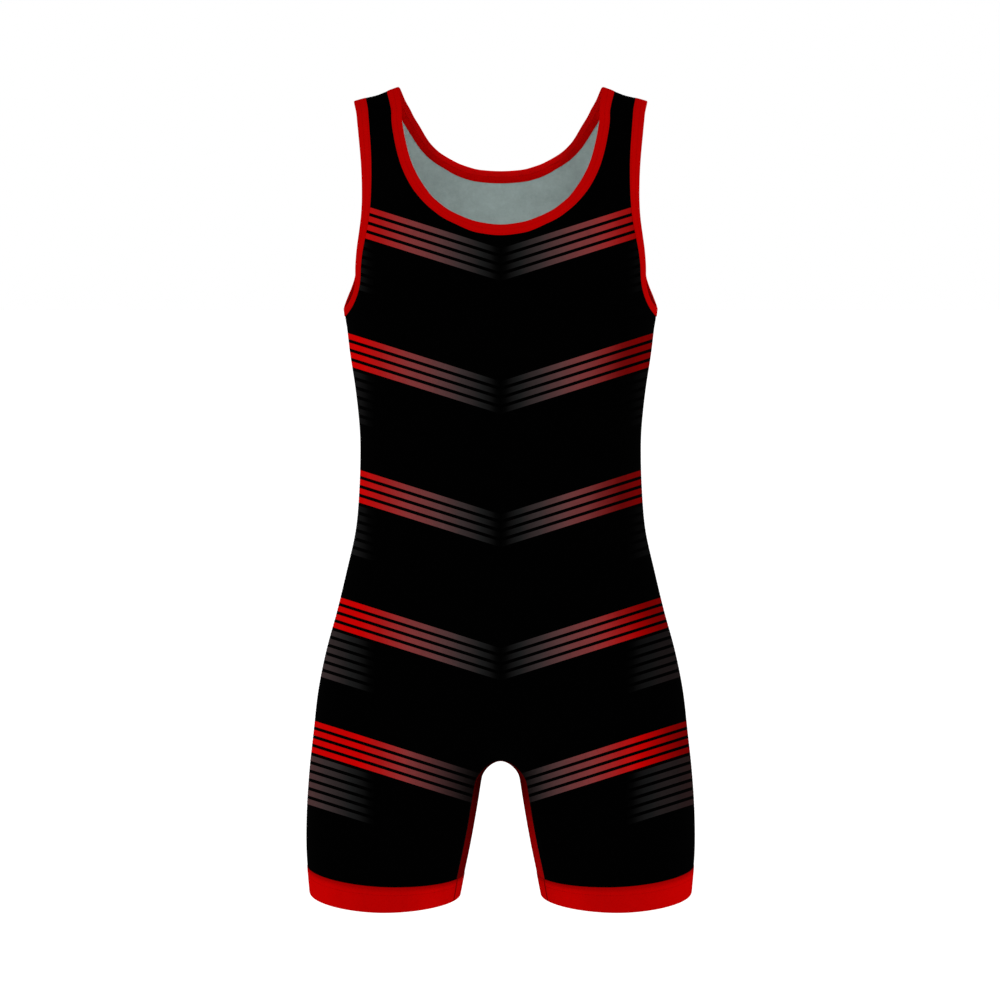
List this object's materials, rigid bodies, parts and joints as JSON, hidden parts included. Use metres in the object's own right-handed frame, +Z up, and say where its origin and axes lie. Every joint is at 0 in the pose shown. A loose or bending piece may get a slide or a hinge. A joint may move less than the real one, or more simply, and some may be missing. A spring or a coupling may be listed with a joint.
{
  "type": "wrestling singlet",
  "caption": "Close-fitting one-piece sleeveless sports suit with a scooped neck, thigh-length legs, bound edges and elastic leg bands.",
  "frame": {"origin": "middle of the shoulder line, level with the tops of the two straps, where the wearer's shoulders carry the suit", "axes": "+Z up along the body, the front faces -Y, the wearer's left is +X"},
  "size_m": [0.399, 0.236, 0.826],
  "materials": {
    "printed_knit": "matte black stretch knit with printed chevron stripes",
    "plain_knit": "matte red stretch knit",
    "binding": "red elastic knit, folded double"
  },
  "bodies": {
    "root": {"front_panel": "printed_knit", "back_panel": "printed_knit", "inseam_gusset": "plain_knit", "neck_binding": "binding", "armhole_binding_left": "binding", "armhole_binding_right": "binding", "leg_cuff_left": "binding", "leg_cuff_right": "binding"}
  },
  "joints": []
}
